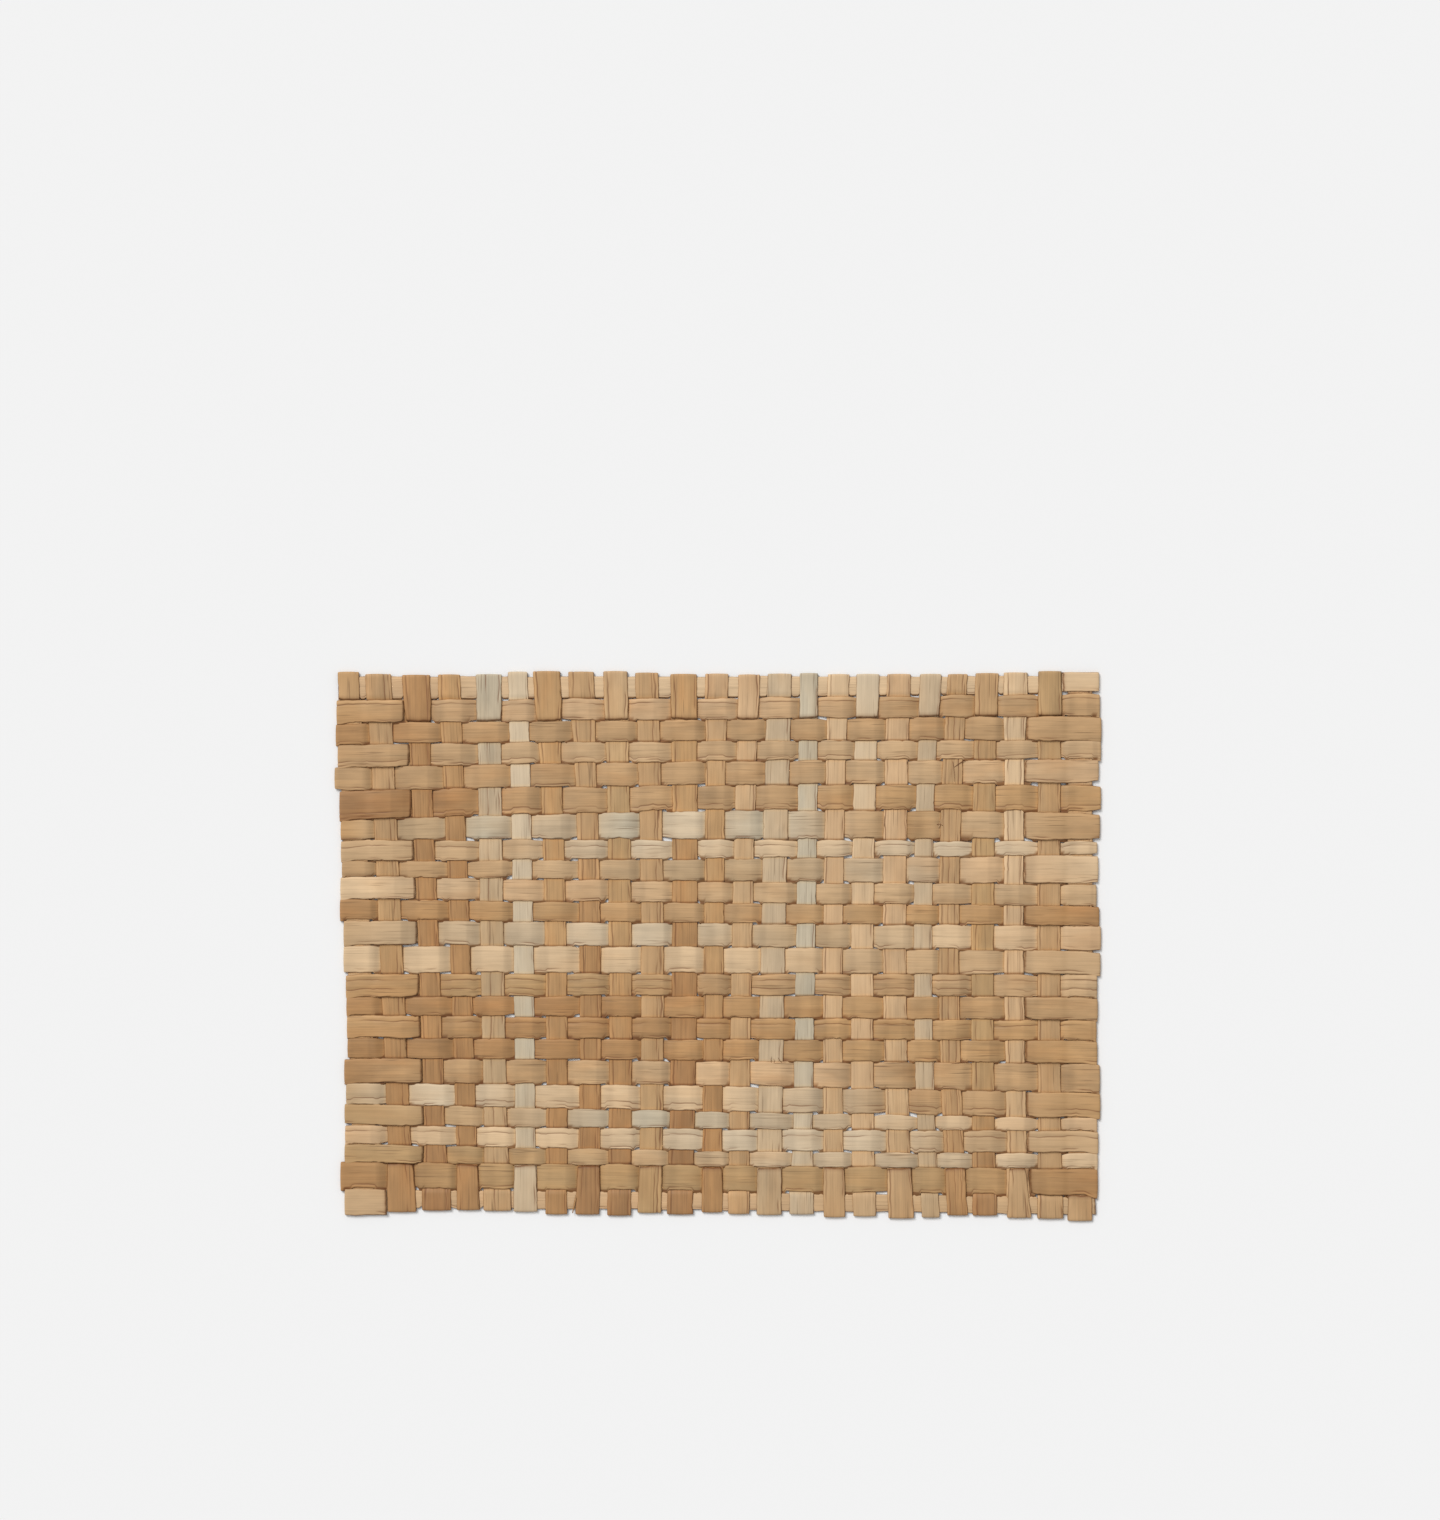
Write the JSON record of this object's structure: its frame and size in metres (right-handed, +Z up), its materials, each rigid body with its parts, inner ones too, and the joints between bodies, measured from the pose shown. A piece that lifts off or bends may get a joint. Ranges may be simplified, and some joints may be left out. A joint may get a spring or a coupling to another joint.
{
  "type": "woven placemat",
  "caption": "Rectangular placemat woven one over one from flat folded leaf strips, whose ends turn back around the edge strips as flaps.",
  "frame": {"origin": "centre of the mat's outline on the surface that it lies on", "axes": "+X along the long side, +Y along the short side, +Z up from the surface"},
  "size_m": [0.4608, 0.3304, 0.0041],
  "materials": {
    "leaf_ivory": "matte dried leaf, fine lengthwise fibre",
    "leaf_cream": "matte dried leaf, fine lengthwise fibre",
    "leaf_peach": "matte dried leaf, fine lengthwise fibre",
    "leaf_straw": "matte dried leaf, fine lengthwise fibre",
    "leaf_sage": "matte dried leaf, fine lengthwise fibre",
    "leaf_grey": "matte dried leaf, fine lengthwise fibre",
    "leaf_olive": "satin dried leaf, fine lengthwise fibre",
    "leaf_tan": "satin dried leaf, fine lengthwise fibre",
    "leaf_golden": "satin dried leaf, fine lengthwise fibre",
    "leaf_caramel": "satin dried leaf, fine lengthwise fibre",
    "leaf_rosy": "satin dried leaf, fine lengthwise fibre",
    "leaf_brown": "satin dried leaf, fine lengthwise fibre"
  },
  "bodies": {
    "root": {"warp_01": "leaf_straw", "warp_02": "leaf_tan", "warp_03": "leaf_caramel", "warp_04": "leaf_caramel", "warp_05": "leaf_sage", "warp_06": "leaf_ivory", "warp_07": "leaf_golden", "warp_08": "leaf_tan", "warp_09": "leaf_olive", "warp_10": "leaf_straw", "warp_11": "leaf_caramel", "warp_12": "leaf_golden", "warp_13": "leaf_rosy", "warp_14": "leaf_grey", "warp_15": "leaf_sage", "warp_16": "leaf_peach", "warp_17": "leaf_cream", "warp_18": "leaf_golden", "warp_19": "leaf_sage", "warp_20": "leaf_brown", "warp_21": "leaf_olive", "warp_22": "leaf_straw", "warp_23": "leaf_rosy", "warp_24": "leaf_golden", "weft_01": "leaf_peach", "weft_02": "leaf_tan", "weft_03": "leaf_grey", "weft_04": "leaf_straw", "weft_05": "leaf_tan", "weft_06": "leaf_golden", "weft_07": "leaf_sage", "weft_08": "leaf_cream", "weft_09": "leaf_sage", "weft_10": "leaf_rosy", "weft_11": "leaf_tan", "weft_12": "leaf_ivory", "weft_13": "leaf_cream", "weft_14": "leaf_olive", "weft_15": "leaf_caramel", "weft_16": "leaf_golden", "weft_17": "leaf_caramel", "weft_18": "leaf_brown", "weft_19": "leaf_peach", "weft_20": "leaf_ivory", "weft_21": "leaf_cream", "weft_22": "leaf_olive", "weft_23": "leaf_grey", "weft_24": "leaf_peach"}
  },
  "joints": []
}
